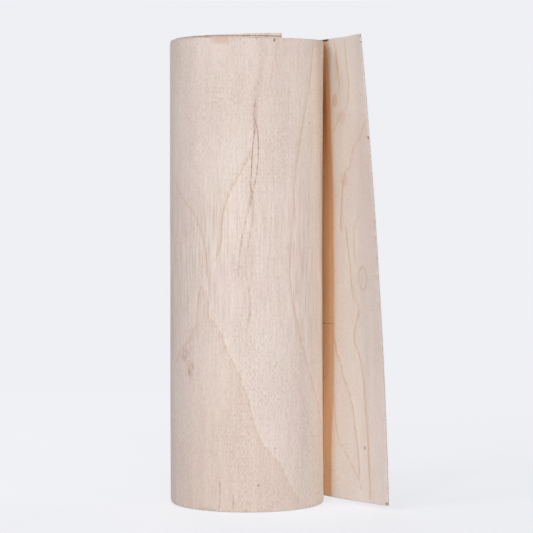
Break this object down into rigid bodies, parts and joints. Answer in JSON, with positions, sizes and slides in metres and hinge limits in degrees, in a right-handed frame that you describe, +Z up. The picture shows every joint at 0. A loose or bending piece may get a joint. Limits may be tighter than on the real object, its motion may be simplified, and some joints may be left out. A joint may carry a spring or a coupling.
{
  "type": "rolled flexible plywood sheet",
  "caption": "Thin bendable plywood sheet rolled loosely across its face grain and stood on end, with its outer end sprung open beside the roll.",
  "frame": {"origin": "On the floor, at the middle of the rectangle that the roll and its loose end take up in plan. The roll's own axis is upright, 82.4 mm to the left of it.", "axes": "+Z up along the roll's axis and the face grain, +X towards the side where the loose end stands open, -Y towards the front, where the sheet's inner end shows at the top."},
  "size_m": [0.5737, 0.4122, 1.233],
  "materials": {
    "veneer": "sanded, unfinished pale veneer"
  },
  "bodies": {
    "root": {"plywood_sheet": "veneer"}
  },
  "joints": []
}
